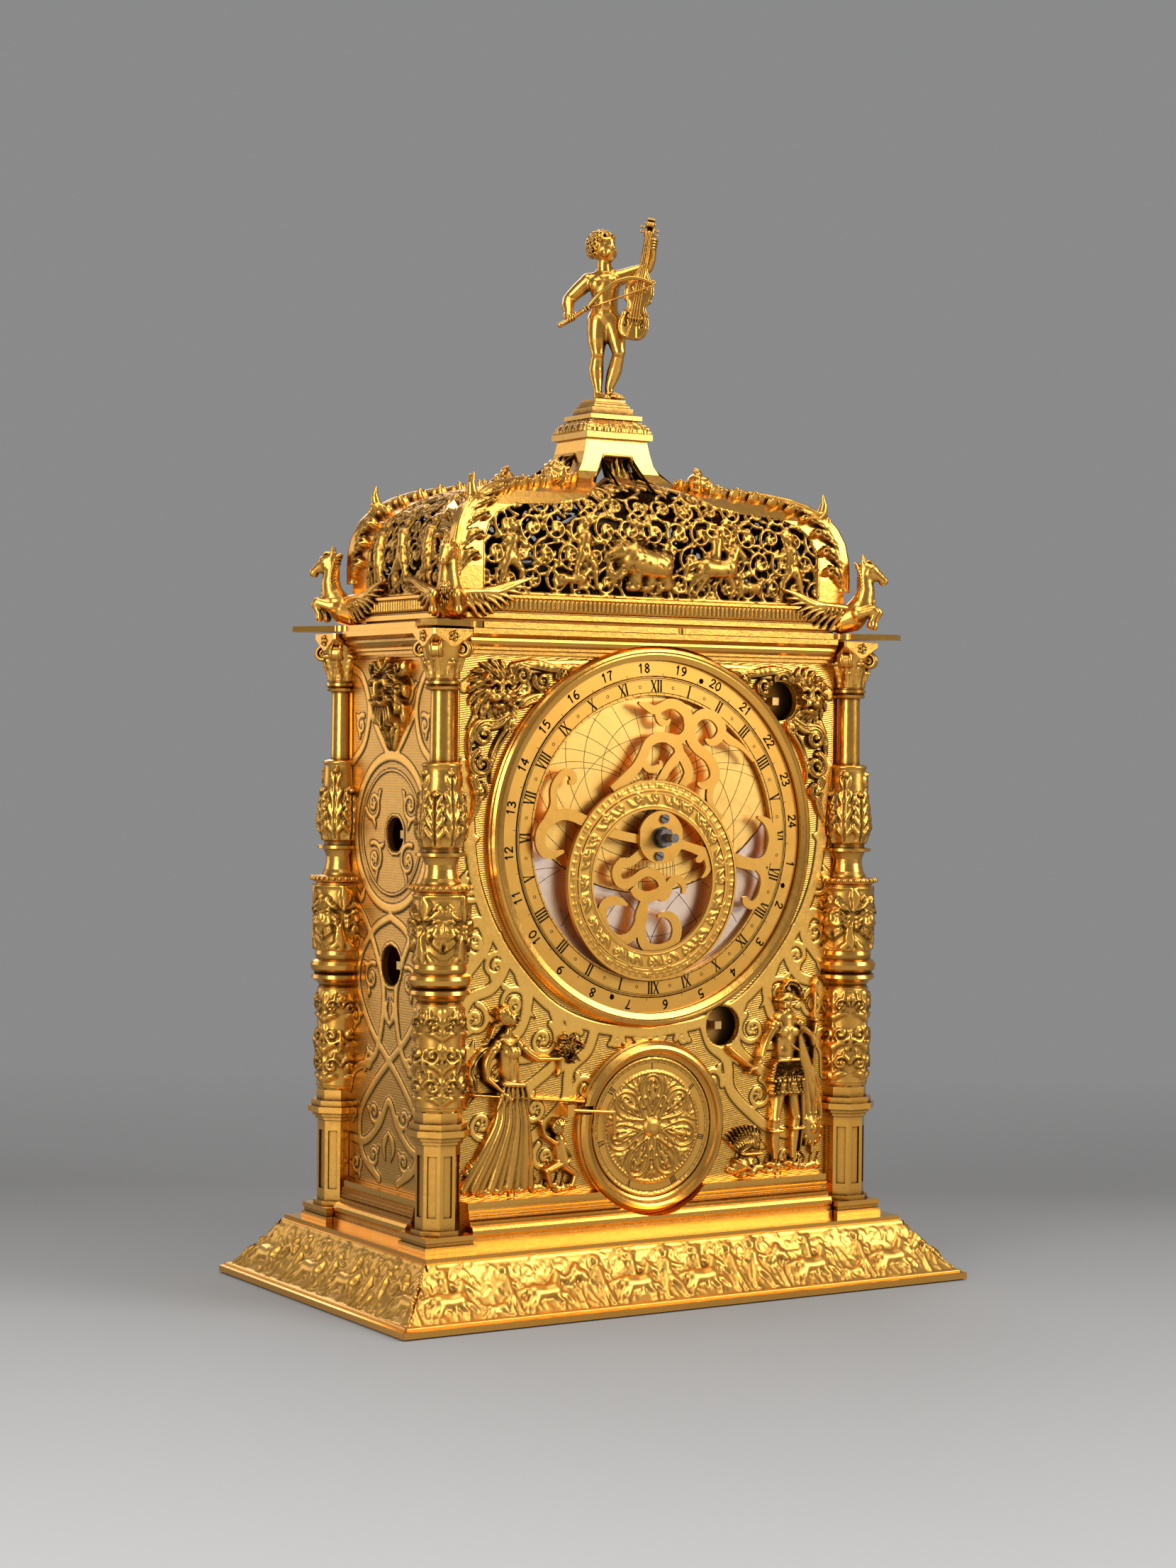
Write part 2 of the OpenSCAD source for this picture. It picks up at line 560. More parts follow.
module vine_short() {
    z1 = roof_z0 + 10.8;
    z2 = z1 + 17.2;
    for (s = [-1, 1]) scale([s, 1]) {
        curl([curl_step, z1], curl_step / 2 + 0.7, 90, -1);
        curl([curl_step / 2, z2], curl_step / 2 - 0.1, -90, 1);
        translate([4, hz(0.83)]) circle(r = 2.6);
        translate([5, hz(0.72)]) circle(r = 3);
    }
    curl([0, z1], curl_step / 2 + 0.7, -90, 1);
    translate([-1.2, z2]) square([2.4, 50]);
}
module panel2d(w) {
    intersection() {
        window(w, seam);
        union() {
            difference() {
                window(w, -2);
                window(w, 1.6);
            }
            children();
        }
    }
}
module roof_panel_front() {
    color(gold) intersection() {
        roof_shell(pierced_t);
        yext(-80, -8) panel2d(win_long) vine_long();
    }
}
module roof_panel_back() {
    color(gold) rotate([0, 0, 180]) intersection() {
        roof_shell(pierced_t);
        yext(-80, -8) panel2d(win_long) vine_long();
    }
}
module roof_panel_left() {
    color(gold) intersection() {
        roof_shell(pierced_t);
        xext(-120, -8) panel2d(win_short) vine_short();
    }
}
module roof_panel_right() {
    color(gold) rotate([0, 0, 180]) intersection() {
        roof_shell(pierced_t);
        xext(-120, -8) panel2d(win_short) vine_short();
    }
}
frieze_prof = [[0, 0], [0, 1.9], [-0.8, 2.1], [-0.8, 2.7], [-0.3, 3], [-0.3, frieze_h - 2],
    [0.5, frieze_h - 1.4],
               [0.5, frieze_h - 0.4], [0, frieze_h]];
module dome_frieze() {
    color(gold) difference() {
        intersection() {
            yext(-80, 80) polygon([for (p = frieze_prof) [dhx + p[0], dome_z0 + p[1]],
                                   for (i = [8:-1:0]) [-dhx - frieze_prof[i][0],
                                       dome_z0 + frieze_prof[i][1]]]);
            xext(-120, 120) polygon([for (p = frieze_prof) [dhy + p[0], dome_z0 + p[1]],
                                     for (i = [8:-1:0]) [-dhy - frieze_prof[i][0],
                                         dome_z0 + frieze_prof[i][1]]]);
        }
        box_c(dome_w - 10.8, dome_d - 10.8, dome_z0 - 1, roof_z0 + 1);
    }
}
// acanthus straps over the four hips, each with a spike and a lion mask
hip = [for (i = [1:11]) let (p = roof_prof[i]) [rx(p, 0), ry(p, 0), rz(p)]];
module corner_straps() {
    color(gold) four() difference() {
        union() {
            for (i = [0:2:8]) limb(hip[i], hip[i + 2], 4.3 - i * 0.08, 4.1 - i * 0.08);
            for (i = [2:2:8]) ball(hip[i], 4.5 - i * 0.08);
            limb(hip[4] + [0.6, 0.6, 2.6], hip[4] + [0.6, 0.6, 9.6], 2.1, 0.5);
            ball(hip[10] + [-1, -0.6, 1.6], 6.2);
            ball(hip[10] + [-3.6, -2.4, 0.6], 3.8);
        }
        roof_solid(-0.02, -0.02);
        block(0, dhx + 0.6, 0, dhy + 0.6, dome_z0 - 1, roof_z0 + 0.05);
    }
}
// winged horse protomes facing out along the diagonals
module horse() {
    // local frame: x runs out along the diagonal from the frieze corner, z up from the frieze foot
    limb([1, 0, 4], [7.4, 0, 12], 6, 4.8);
    ball([1.6, 0, 5], 6.2);
    limb([7, 0, 11], [8.2, 0, 24], 4.8, 3.4);
    ball([7.4, 0, 12.4], 5);
    limb([6.6, 0, 26.4], [15.2, 0, 20.6], 3.6, 2);
    ball([6.8, 0, 26.6], 4);
    ball([15.2, 0, 20.6], 2.3);
    for (s = [-1, 1]) {
        limb([6.4, 0.9 * s, 28], [6, 2 * s, 32.2], 1.3, 0.4);
        limb([6.4, 4 * s, 6.6], [12.4, 4.6 * s, 8], 2.8, 1.9);
        limb([12.4, 4.6 * s, 8.2], [10.4, 5 * s, 1.8], 1.8, 1.3);
        ball([12.4, 4.6 * s, 8.1], 2.1);
    }
}
module wing(a) {
    // wing lying back along the frieze
    rotate([0, 0, a]) translate([0, 0, 0]) rotate([90, 0, 0]) translate([0, 0, -1.4]) linear_extrude(2.2)
        stroke([[3, 3.6, 8], [-6, 3.6, 9.4], [-16, 5.6, 8], [-25, 9.4, 4.6], [-32, 14.4, 1]]);
}
module winged_horses() {
    color(gold) four() difference() {
        translate([dhx, dhy, dome_z0]) {
            rotate([0, 0, 45]) horse();
            translate([0, 2.4, 0]) wing(0);
            translate([2.4, 0, 0]) scale([1, -1, 1]) wing(-90);
        }
        block(-10, dhx + 0.52, -10, dhy + 0.52, dome_z0 - 10, roof_z0 + 0.02);
        roof_solid(-0.03, -0.03);
        corner_straps_local();
    }
}
module corner_straps_local() {
    for (i = [0:2:2]) limb(hip[i], hip[i + 2], 4.36 - i * 0.08, 4.16 - i * 0.08);
    ball(hip[2], 4.4);
    limb(hip[0] - [0, 0, 6], hip[0], 4.36, 4.36);
}
module neck_cap() {
    w = 32;
    d = 28.4;
    color(gold) difference() {
        union() {
            box_c(w, d, neck_z1 + seam, neck_z1 + 2.6);
            for (i = [0:4]) let (k = [[1, 2.6, 4], [2.2, 3.9, 5.4], [4, 5.3, 6.6], [6.4, 6.5, 7.6],
                [9, 7.5, 8.4]][i])
                box_c(w - k[0], d - k[0], neck_z1 + k[1], neck_z1 + k[2]);
        }
        cylinder(h = 600, r = 1.2);
    }
}
ped_z0 = neck_z1 + 8.4 + seam;
ped_z1 = ped_z0 + 8.6;
module finial_pedestal() {
    color(gold) translate([0.4, 0, 0]) difference() {
        union() {
            box_c(25, 21.4, ped_z0, ped_z0 + 1.8);
            box_c(20, 15.2, ped_z0 + 1.7, ped_z0 + 5);
            box_c(17.4, 14, ped_z0 + 4.9, ped_z0 + 6.2);
            box_c(15.6, 12.4, ped_z0 + 6.1, ped_z0 + 7.2);
            box_c(14.6, 11.6, ped_z0 + 7.1, ped_z1);
        }
        translate([-0.4, 0, ped_z0 - 1]) cylinder(h = 4, r = 1.2);
    }
}
// finial figure
// figure frame: x to the viewer's right as the figure faces, y away from its front, z up from its feet
fig_turn = -32;
module fig() { translate([0, 0, ped_z1 + seam]) rotate([0, 0, fig_turn]) children(); }
hand_l = [-14.1, -6.4, 33.2];
hand_r = [19.8, -2.4, 64.2];
module flesh(a, b, ra, rb) {
    hull() {
        translate(a) sphere(r = ra, $fn = 16);
        translate(b) sphere(r = rb, $fn = 16);
    }
}
module putto() {
    color(gold) fig() difference() {
        union() {
            // standing leg
            flesh([-1.4, 0.2, 1.2], [2.6, -2.8, 0.9], 1.6, 1.1);
            flesh([-1.6, 0.4, 1.6], [-2.5, 0.5, 12.4], 1.7, 3);
            flesh([-2.5, 0.5, 12.4], [-2.2, -0.2, 19.4], 3, 2.8);
            flesh([-2.2, -0.2, 19.4], [-2, 0, 33], 2.8, 4.5);
            // free leg, knee bent forward
            flesh([3, 0.2, 1.2], [8, -2.4, 0.9], 1.7, 1.1);
            flesh([2.6, 0.6, 1.6], [4.8, 0.2, 12.4], 1.7, 3.1);
            flesh([4.8, 0.2, 12.4], [6.4, -1.6, 20], 3.1, 3.2);
            flesh([6.4, -1.6, 20], [3.2, 0.2, 32.4], 3.2, 4.4);
            // trunk and head
            flesh([0, 1.2, 33.8], [0.4, 0.4, 40], 5.7, 4.9);
            flesh([0.6, 0.2, 42], [0.6, 0.2, 48.6], 4.8, 5.5);
            flesh([-5.4, 0.6, 50], [6.4, 0.6, 51.6], 3, 3);
            flesh([0.4, 0.6, 50], [0, 0.2, 59], 2.9, 2.5);
            flesh([-1, 0.8, 64.4], [0.6, -0.6, 62.6], 6.5, 6.1);
            // bow arm
            flesh([-6, 0.6, 50.2], [-14.4, 1.4, 42.2], 2.8, 2.2);
            flesh([-14.4, 1.4, 42.2], hand_l + [0, 0.6, 1.4], 2.3, 1.6);
            flesh(hand_l + [0.4, 0.4, 0.6], hand_l + [0.2, -0.6, -0.8], 2, 1.9);
            flesh(hand_l, [-17.2, -6.4, 30.9], 0.9, 0.9);
            // viol arm
            flesh([7, 0.6, 51.6], [18.4, 1.6, 55.6], 2.7, 2);
            flesh([18.4, 1.6, 55.6], hand_r + [0.2, 0.6, -1.6], 2.1, 1.5);
            flesh(hand_r + [0.4, 0.2, -0.6], hand_r + [-0.4, -0.8, 0.8], 1.9, 1.7);
        }
        translate([-20, -20, -10]) cube([40, 40, 10]);
    }
}
viol_lean = 9;
viol_y = -6.6;
module viol_frame() { fig() translate([11.6, viol_y, 24.6]) rotate([-3, viol_lean, 0]) children(); }
module viol2d() {
    difference() {
        union() {
            translate([0, 6.2]) circle(r = 6.2);
            translate([-6, 6]) square([12, 5]);
            translate([0, 20.6]) circle(r = 6.2);
            translate([-6.2, 15.6]) square([12.4, 6]);
            translate([-4.2, 8]) square([8.4, 10]);
            polygon([[-5.6, 22.6], [-3, 27.4], [-1.4, 31], [1.4, 31], [3, 27.4], [5.6, 22.6]]);
        }
        for (s = [-1, 1]) translate([s * 6.9, 13.4]) circle(r = 2.7);
    }
}
module viol() {
    color(gold) difference() {
        viol_frame() union() {
            yext(-1.5, 1.3) viol2d();
            block(-1.5, 1.5, -1.3, 0.5, 30, 46.4);
            block(-1.3, 1.3, -1.9, -1.2, 19, 45.4);
            block(-2, 2, -0.7, 1.6, 44.4, 47.6);
            translate([0, -0.4, 48.6]) rotate([0, 90, 0]) cylinder(h = 3.4, r = 1.9, center = true,
                $fn = 32);
            block(-1.9, 1.9, -2.4, -1.4, 8, 8.8);
        }
        putto_cut();
    }
}
module putto_cut() {
    g = 0.16;
    fig() {
        ball([6.4, -1.6, 20], 3.2 + g);
        limb([6.4, -1.6, 20], [3.2, 0.2, 32.4], 3.2 + g, 4.4 + g);
        ball([3.3, 0.1, 32.5], 4.5 + g);
        ball([0.1, 1.1, 34], 5.7 + g);
        ball([0.6, 0.2, 48.6], 5.5 + g);
        limb([0.6, 0.2, 41.8], [0.6, 0.2, 48.6], 4.8 + g, 5.5 + g);
        limb([7, 0.6, 51.6], [18.4, 1.6, 55.6], 2.7 + g, 2 + g);
        ball([18.5, 1.7, 55.5], 2.15 + g);
        limb([18.4, 1.6, 55.6], hand_r + [0.2, 0.6, -1.6], 2.15 + g, 1.6 + g);
        ball(hand_r + [0.4, 0.2, -0.6], 1.95 + g);
        ball(hand_r + [-0.4, -0.8, 0.8], 1.75 + g);
    }
}
module bow() {
    y = viol_y - 4.2;
    color(gold) difference() {
        fig() union() {
            limb([-13.4, y + 4, 33], [-6.4, y + 0.4, 36.9], 1, 0.9);
            limb([-6.6, y + 0.4, 36.8], [-1.8, y, 42.6], 0.85, 0.8);
            limb([-1.8, y, 42.6], [3.7, y, 47], 0.8, 0.75);
            limb([3.7, y, 47], [9.8, y, 49.3], 0.75, 0.75);
            limb([9.8, y, 49.3], [15.4, y, 49.1], 0.75, 0.7);
            limb([15.4, y, 49.1], [20.4, y, 46.6], 0.7, 0.7);
            limb([-6.6, y + 0.4, 36.6], [20.4, y, 46.4], 0.6, 0.6);
            ball([-6.5, y + 0.4, 36.8], 1.1);
            ball([-1.8, y, 42.6], 0.84);
            ball([3.7, y, 47], 0.8);
            ball([9.8, y, 49.3], 0.79);
            ball([15.4, y, 49.1], 0.75);
            limb([20, y, 46.8], [21.8, y, 47.8], 0.9, 1.2);
        }
        fig() ball(hand_l + [0.4, 0.4, 0.6], 2.12);
        fig() ball(hand_l + [0.2, -0.6, -0.8], 2.02);
    }
}

// main dial
by = plate_y + seam;
module dial_bezel() {
    r = bez_r;
    color(gold) yturn([0, dial_z], -by, [[bez_in, 0], [r - 0.4, 0], [r, 0.6], [r, 1.6],
        [r - 0.5, 2.2], [r - 0.4, 3.4],
        [r - 1.2, 4.4], [r - 2.2, 4.8], [r - 2.8, 4.3], [r - 3.4, 4.5], [r - 4.1, 4.3], [bez_in - 1, 3.9],
        [bez_in - 1, 2.2 + run_gap], [bez_in, 2.2 + run_gap]]);
}
module hour_ring() {
    color(gold) difference() {
        yring([0, dial_z], h24_r, h24_in, -by - 2.2, -by - run_gap);
        for (a = [71, -18, -107]) ycyl([0.93 * h24_r * cos(a) + 0, dial_z + 0.93 * h24_r * sin(a)],
            1.1, -60, 0);
    }
}
module chapter_ring() {
    color(gold) yring([0, dial_z], chap_r, chap_in, -by - 2.4, -by);
}
module tympan() {
    color(silver) difference() {
        ycyl([0, dial_z], well_r - seam, -plate_y + 0.3, -plate_y + 1.8);
        ycyl([0, dial_z], arbor_d / 2 + play, -60, 0);
    }
}
rete_y = by + 4.2;
module rete2d() {
    zr = zodiac_d / 2;
    k = chap_r - 0.4;
    intersection() {
        circle(r = k);
        union() {
            rotate(rete_turn) translate([0, -zod_off]) difference() {
                circle(r = zr);
                circle(r = zr - zodiac_w);
            }
            scale(net_k) net_strokes();
        }
    }
}
module net_strokes() {
    // arms to the hub
    stroke([[-26, 2.6, 3.6], [-18, 0.8, 3.6], [-8, -1, 3.6]]);
    stroke([[8, -2.4, 3.4], [16, -4.4, 3.6], [26, -8, 5]]);
    stroke([[22, -7, 3], [19.6, -9, 3.2], [18, -9.4, 1.6]]);
    stroke([[23.6, -8.6, 3.6], [24.4, -12, 3], [23, -15, 2], [21, -16.6, 1]]);
    // star pointers above
    stroke([[-22, 18.6, 5], [-12.4, 27, 4.4], [-8.6, 32, 4.4], [-5.6, 38, 4.2], [-1, 40.4, 4.2],
        [4, 40.2, 4],
            [9, 39.6, 3.8], [12.4, 42, 3.6], [13.4, 45, 3.6]]);
    stroke([[3, 40.4, 4], [8, 37.6, 4.2], [9.2, 34, 4.2], [6.6, 31, 4], [3, 27, 3.6], [0, 22.4, 3.4]]);
    stroke([[-8.2, 31, 3], [-6, 28, 3], [-2.4, 27.4, 2.8], [0.4, 29, 2.2], [0, 31, 1]]);
    stroke([[-10.4, 54.2, 1], [-6.4, 52.8, 3], [-2.4, 51.4, 3.8], [3.6, 54, 4], [8.8, 53.2, 4.4],
        [13, 49.6, 4.6],
            [14, 44.6, 4.6], [15.2, 39.4, 4.6], [19, 35.4, 4.4], [23.6, 32.4, 4.4], [26.4, 28, 4.6],
                [26.8, 24, 4.6],
            [24, 21.6, 4], [20.6, 21, 2.8], [18.2, 22, 1]]);
    stroke([[-1.4, 52, 3], [-1, 48.6, 2.8], [0.8, 46.4, 2.8], [3.2, 46.2, 2.2], [4.6, 47.8, 1]]);
    stroke([[14.6, 41, 4], [16, 47, 4.2], [20.2, 50, 4.2], [25.2, 49.6, 4.2], [29, 46.6, 4.2],
        [30, 43, 4.2],
            [27.6, 39.6, 3.8], [24.4, 38.6, 2.8], [22, 40, 1]]);
    stroke([[29.6, 43, 3], [34, 39.6, 3.8], [38.6, 37.6, 2.4], [42.6, 34.6, 1.6], [46, 31, 0.9]]);
    stroke([[8.6, 35, 4], [12, 31, 4.2], [14, 26.4, 4.2], [12.2, 22.6, 3.6], [9.6, 19.6, 3]]);
    stroke([[26.6, 25, 4], [24.8, 20, 3.2], [24.4, 15.4, 3], [26.4, 10.6, 3.2], [30, 6.6, 4]]);
    // star pointers at the left
    stroke([[-35, 6.6, 4.6], [-43, 9.4, 4.6], [-49, 8.6, 4.6], [-54.4, 4.4, 4.6], [-56, -0.4, 4.6],
        [-54.4, -5, 4.4],
            [-50.4, -6.6, 3.2], [-45, -5.2, 1.2]]);
    stroke([[-53, 7, 3.4], [-50, 13, 3], [-50, 19.4, 3], [-47.6, 23.8, 3], [-44.4, 26.2, 3],
        [-41.4, 25.2, 3],
            [-41, 22.6, 3], [-43, 22, 1.6]]);
    // star pointers at the right
    stroke([[35.6, -9, 5], [42, -10.8, 5], [48.6, -11.6, 5], [53.4, -9.4, 4.8], [56, -4.4, 4.8],
        [56, 1.2, 4.4],
            [53, 6, 3.4], [48.4, 8, 1]]);
    stroke([[47.6, -11, 4.6], [51.6, -15, 4.2], [52.2, -20, 4], [50.2, -25.4, 3.6], [46.6, -28.4, 3.6],
            [43.2, -27.2, 3.4], [42.4, -24.8, 2.4]]);
    // star pointers inside the zodiac ring
    stroke([[-8, -6, 4], [-13.6, -9.8, 3.8], [-17.8, -10.2, 4], [-20.4, -13.6, 4], [-19, -17.6, 4],
        [-15.4, -18.8, 4],
            [-11.8, -17, 3.6], [-8, -14.6, 3.6], [-4.4, -13.6, 3.8]]);
    stroke([[-5, -13.7, 3.8], [0, -16, 4], [2, -20, 4], [-0.8, -23, 4.2], [-5.4, -24, 4.4],
        [-10, -22.8, 4.2],
            [-12.8, -20.4, 2.4]]);
    stroke([[-0.6, -22.4, 3.4], [1.8, -24.2, 3.8], [3.8, -22.8, 4], [5.2, -19.4, 3.8], [8, -17, 3.6],
            [11, -18, 3], [12.4, -20.6, 2.2], [11.6, -23, 1]]);
    stroke([[-5.6, -23, 4], [-7.2, -27.4, 4.2], [-8, -31.4, 6], [-9, -35, 5.2], [-12.6, -39.4, 4.4],
        [-17.8, -41.4, 4.4],
            [-23, -39, 4.4], [-26.4, -34, 4.4], [-26.6, -28.8, 4.4], [-24, -25.6, 4.2], [-19, -25.4, 3.2],
            [-14.8, -27.2, 1]]);
    stroke([[-8.4, -34.6, 4.4], [-7.4, -41.6, 4.4], [-4, -45, 4.4], [2.2, -45.4, 4.4],
        [7.4, -43, 4.4], [9.2, -37.8, 4.4],
            [7.4, -33.2, 4], [3.4, -31.2, 2.8], [-0.2, -32, 1]]);
}
module rete() {
    color(gold) difference() {
        union() {
            translate([0, 0, dial_z]) yext(-rete_y - rete_t, -rete_y) rete2d();
            ycyl([0, dial_z], 9.4, -rete_y - rete_t, -rete_y);
            translate([0, 0, dial_z]) rotate([0, -rete_turn, 0]) translate([0, 0, -zod_off]) {
                yring([0, 0], zodiac_d / 2, zodiac_d / 2 - 0.9, -rete_y - rete_t - 0.5,
                    -rete_y - rete_t + 0.1);
                yring([0, 0], zodiac_d / 2 - zodiac_w * 0.4, zodiac_d / 2 - zodiac_w * 0.4 - 0.8,
                    -rete_y - rete_t - 0.5, -rete_y - rete_t + 0.1);
                yring([0, 0], zodiac_d / 2 - zodiac_w + 0.9, zodiac_d / 2 - zodiac_w,
                    -rete_y - rete_t - 0.5, -rete_y - rete_t + 0.1);
            }
        }
        ycyl([0, dial_z], arbor_d / 2 + seam, -60, 0);
    }
}
hub_y = rete_y + rete_t + seam;
module hub_plate() {
    color(gold) difference() {
        translate([0, -hub_y, dial_z]) rotate([90, 0, 0]) linear_extrude(1.5) intersection() {
            circle(r = hub_r);
            square([2 * hub_r - 1, 2 * hub_r], center = true);
        }
        ycyl([0, dial_z], arbor_d / 2 + seam, -60, 0);
        for (s = [-1, 1]) ycyl([s * 1.2, dial_z + s * hub_screw], 1, -60, 0);
    }
}
module hub_screws() {
    color(gold) for (s = [-1, 1]) difference() {
        union() {
            ycyl([s * 1.2, dial_z + s * hub_screw], 1.9, -hub_y - 2.6, -hub_y - 1.5 - seam);
            ycyl([s * 1.2, dial_z + s * hub_screw], 0.95, -hub_y - 1.6, -hub_y + 0.02);
        }
        translate([s * 1.2, -hub_y - 2.6, dial_z + s * hub_screw]) rotate([0, 25, 0]) cube([4.4, 0.9,
            0.5], center = true);
    }
}
module centre_nut() {
    color(steel) difference() {
        union() {
            ycyl([0, dial_z], nut_r, -hub_y - 2.3, -hub_y - 1.5 - seam);
            translate([0, -hub_y - 2.2, dial_z]) rotate([90, 0, 0]) cylinder(h = 3.4,
                r = nut_r - 0.5, $fn = 6);
        }
        ycyl([0, dial_z], arbor_d / 2 - 0.6 + seam, -80, 0);
    }
}
module dial_arbor() {
    color(steel) union() {
        ycyl([0, dial_z], arbor_d / 2, -hub_y - 1.5, -wheel_y + 2.2);
        ycyl([0, dial_z], arbor_d / 2 - 0.6, -hub_y - 11.6, -hub_y - 1.4);
        ycyl([0, dial_z], arbor_d / 2 - 0.9, -wheel_y + 2.1, -mf_y0 + mf_t + 0.6);
    }
}

// calendar dial
module calendar_bezel() {
    r = cal_r;
    color(gold) difference() {
        yturn([0, cal_z], -by, [[cal_in, 0], [r - 0.3, 0], [r, 0.6], [r - 0.1, 2], [r - 0.8, 2.6],
            [r - 0.9, 3.6], [r - 2, 4.6],
            [r - 3.2, 4.9], [r - 4.2, 4.4], [r - 4.6, 3.4], [r - 5.4, 2.8], [cal_in, 2.4]]);
        translate([-cal_r + 3, -by - 3.6, cal_z + 8.6]) cube([8, 6, 3.4], center = true);
    }
}
module calendar_disc() {
    color(gold) difference() {
        union() {
            ycyl([0, cal_z], cal_in - run_gap, -by - 2.2, -by - run_gap);
            ycyl([0, cal_z], 2.4, -by - run_gap - 0.1, -plate_y + plate_t + 2.4);
        }
        for (i = [0:6]) rotate_about(i * 360 / 7 + 90) {
            ycyl([15.6, 0], 5, -by - 3, -by - 1.5);
            ycyl([9.4, 0], 2.7, -by - 3, -by - 1.5);
        }
    }
}
module rotate_about(a) { translate([0, 0, cal_z]) rotate([0, -a, 0]) children(); }
module calendar_boss() {
    color(gold) yturn([0, cal_z], -by - 2.2 - 0.02, [[0, 0], [3.6, 0], [4, 0.6], [3.2, 1.4],
        [1.6, 1.8], [0, 1.8]]);
}
module calendar_pointer() {
    y0 = -by - 6.2;
    color(gold) union() {
        block(-cal_r - 7.4, -cal_r - 4.4, y0 - 0.6, -by, cal_z + 6.8, cal_z + 11.6);
        limb([-cal_r - 6, y0 + 0.4, cal_z + 9.4], [-20.4, y0 + 0.4, cal_z + 7.4], 0.7, 0.7);
        limb([-20.4, y0 + 0.4, cal_z + 7.9], [-19.6, y0 + 0.8, cal_z - 1.4], 0.75, 0.6);
        limb([-19.6, y0 + 0.8, cal_z - 0.9], [-18.4, -by - 2.9, cal_z - 2.2], 0.6, 0.3);
        ball([-20.4, y0 + 0.4, cal_z + 7.4], 0.85);
    }
}

// mounts on the plates
module lion2d() {
    circle(r = 12.4);
    stroke([[-3, -8, 9], [-7, -15, 9], [-9, -22, 9], [-8, -30, 9], [-9, -37, 8], [-7, -44, 7],
        [-6, -50, 4]]);
    stroke([[6, 7, 8], [14, 8.6, 8], [22, 9.6, 8], [30, 10, 7], [38, 9.6, 5], [44, 9, 2]]);
}
module lion_mounts() {
    color(gold) for (s = [-1, 1]) difference() {
        union() {
            translate([s * (front_hw - 15.8), 0, case_z1 - cornice_h - 14.2]) scale([s == 1 ? -1 : 1,
                1, 1]) {
                yext(-by - 2, -by) lion2d();
                ycyl([0, 0], 7.6, -by - 4.4, -by - 1);
                ycyl([0, -3.4], 4, -by - 6, -by - 1);
                for (p = [[-7, -19, 4.2], [-8.6, -31, 3.8], [15, 8.6, 4.2], [27, 9.8, 3.8]])
                    ycyl([p[0], p[1]], p[2], -by - 3.6, -by - 1);
            }
        }
        ycyl([0, dial_z], bez_r + 0.25, -70, 0);
        ycyl(hole_b, wind_d / 2 - 0.2, -70, 0);
        block(-120, 120, -70, 0, case_z1 - cornice_h + 0.7, case_z1 + 10);
        for (sx = [-1, 1]) translate([sx * col_dx, -col_dy, 0]) cylinder(h = 400, r = 13);
    }
}
// the reliefs are drawn for this height of the calendar dial
relief_drawn = 67.2;
module woman_relief() {
    ox = -front_hw + 26.4;
    color(gold) difference() {
        translate([0, 0, cal_z - relief_drawn]) union() {
            ycyl([ox - 2, 114], 5.4, -by - 5.2, -by);
            yext(-by - 4.2, -by) stroke([[ox - 2, 111, 8], [ox - 3, 103, 13], [ox - 4, 92, 14],
                [ox - 3, 78, 16], [ox - 4, 62, 20], [ox - 2, 47, 24]]);
            yext(-by - 3.2, -by) stroke([[ox - 4, 106, 5], [ox - 12, 98, 5], [ox - 10, 90, 4]]);
            yext(-by - 3.2, -by) stroke([[ox + 2, 104, 5], [ox + 11, 96, 5], [ox + 19, 93, 4]]);
            yext(-by - 4, -by) stroke([[ox + 12, 88, 3], [ox + 19, 93, 8], [ox + 25, 97, 9],
                [ox + 29, 99, 3]]);
            ycyl([ox + 20, 66], 4.4, -by - 5, -by);
            yext(-by - 4.2, -by) stroke([[ox + 19, 64, 8], [ox + 18, 56, 11], [ox + 15, 47, 13]]);
            yext(-by - 2.2, -by) stroke([[ox - 14, 46, 6], [ox, 43, 6], [ox + 16, 45, 6],
                [ox + 26, 44, 5]]);
        }
        ycyl([0, cal_z], cal_r + 8.2, -70, 0);
        ycyl([0, dial_z], bez_r + 0.25, -70, 0);
        block(-120, 120, -70, 0, 0, case_z0 + plinth_h + 0.05);
        translate([-col_dx, -col_dy, 0]) cylinder(h = 400, r = 12.9);
    }
}
